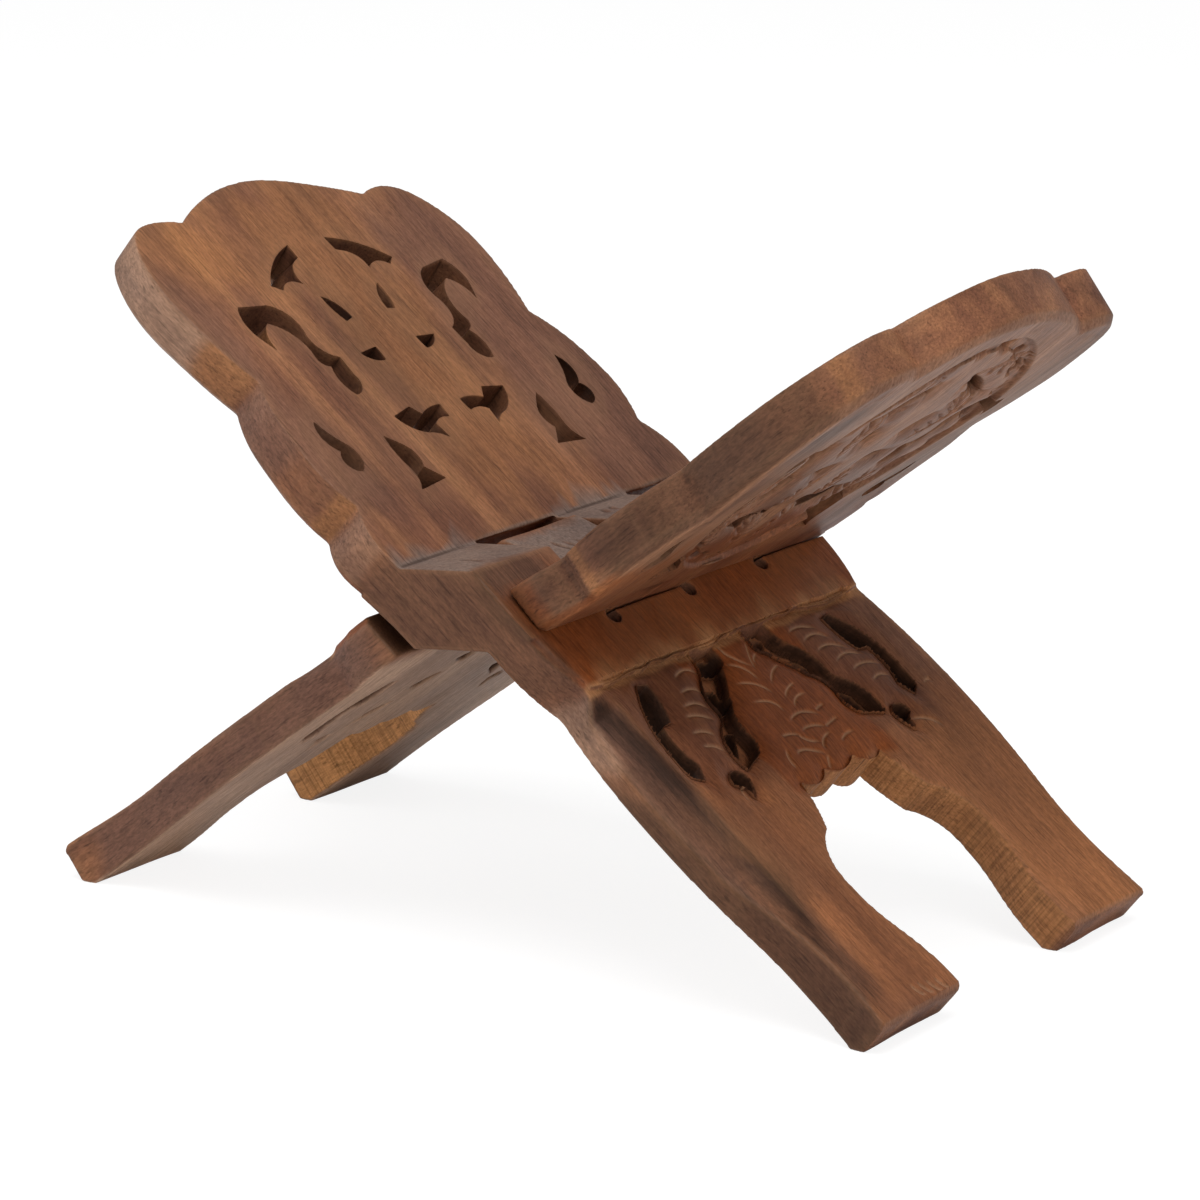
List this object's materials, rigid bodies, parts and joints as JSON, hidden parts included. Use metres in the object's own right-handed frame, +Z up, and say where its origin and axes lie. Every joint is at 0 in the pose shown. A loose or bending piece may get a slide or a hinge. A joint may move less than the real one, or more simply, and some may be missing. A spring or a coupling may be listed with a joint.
{
  "type": "folding book stand",
  "caption": "Folding X-shaped wooden book stand sawn and carved from a plank, with lobed pierced reading panels, arched legs and an interlocking knuckle hinge that needs no pin.",
  "frame": {"origin": "on the floor, under the hinge, at the middle of the stand's width and length", "axes": "+X from the left panel to the right panel, +Y along the hinge axis away from the viewer, +Z up"},
  "size_m": [0.2602, 0.141, 0.1862],
  "materials": {
    "carved_wood": "brown hardwood with darker and golden streaks along the grain, rubbed to a satin polish"
  },
  "bodies": {
    "left_leaf": {"left_leaf": "carved_wood"},
    "right_leaf": {"right_leaf": "carved_wood"}
  },
  "joints": [
    {"name": "fold", "type": "hinge", "parent": "left_leaf", "child": "right_leaf", "pos_m": [-0.00014, 0, 0.09226], "axis": [0, 1, 0], "range_deg": [-104, 0]}
  ]
}
